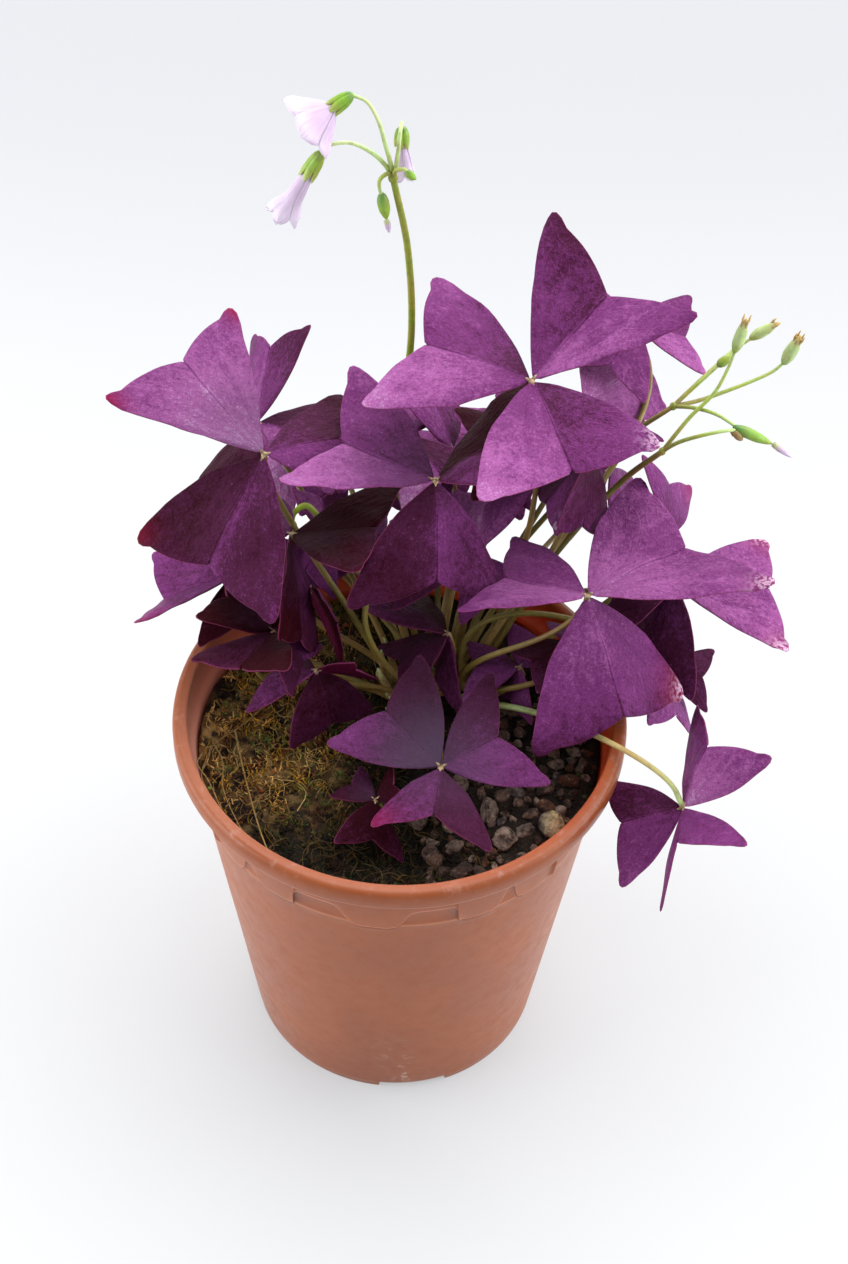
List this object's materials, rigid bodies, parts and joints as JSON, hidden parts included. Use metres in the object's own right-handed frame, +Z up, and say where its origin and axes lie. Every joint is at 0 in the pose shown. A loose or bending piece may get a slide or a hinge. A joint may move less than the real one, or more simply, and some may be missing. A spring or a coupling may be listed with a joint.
{
  "type": "purple shamrock in a nursery pot",
  "caption": "Potted purple shamrock: three-lobed purple leaves and pale lilac blooms on thin stalks, growing from soil in a tapered terracotta-coloured plastic nursery pot.",
  "frame": {"origin": "middle of the pot's flat foot, on the surface it stands on", "axes": "+Z up along the pot's axis; -Y is the side the plant is seen from, +X to its right"},
  "size_m": [0.1885, 0.1809, 0.302],
  "materials": {
    "pot_plastic": "matt moulded plastic, terracotta colour",
    "soil": "rough potting mix with gravel",
    "stone": "rough stone",
    "stalk": "smooth green and olive plant stalk",
    "leaf": "velvety purple leaf with darker underside",
    "petal": "thin pale lilac petal"
  },
  "bodies": {
    "root": {"pot": "pot_plastic", "soil": "soil", "pebble": "stone", "stalks": "stalk", "leaf_01": "leaf", "leaf_02": "leaf", "leaf_03": "leaf", "leaf_04": "leaf", "leaf_05": "leaf", "leaf_06": "leaf", "leaf_07": "leaf", "leaf_08": "leaf", "leaf_09": "leaf", "leaf_10": "leaf", "leaf_11": "leaf", "leaf_12": "leaf", "leaf_13": "leaf", "leaf_14": "leaf", "leaf_15": "leaf", "leaf_16": "leaf", "leaf_17": "leaf", "leaf_18": "leaf", "leaf_19": "leaf", "leaf_20": "leaf", "leaf_21": "leaf", "leaf_22": "leaf", "leaf_23": "leaf", "leaf_24": "leaf", "leaf_25": "leaf", "leaf_26": "leaf", "leaf_27": "leaf", "leaf_28": "leaf", "leaf_29": "leaf", "leaf_30": "leaf", "leaf_31": "leaf", "petals_1": "petal", "petals_2": "petal", "petals_3": "petal", "petals_bud": "petal", "petals_withered": "petal"}
  },
  "joints": []
}
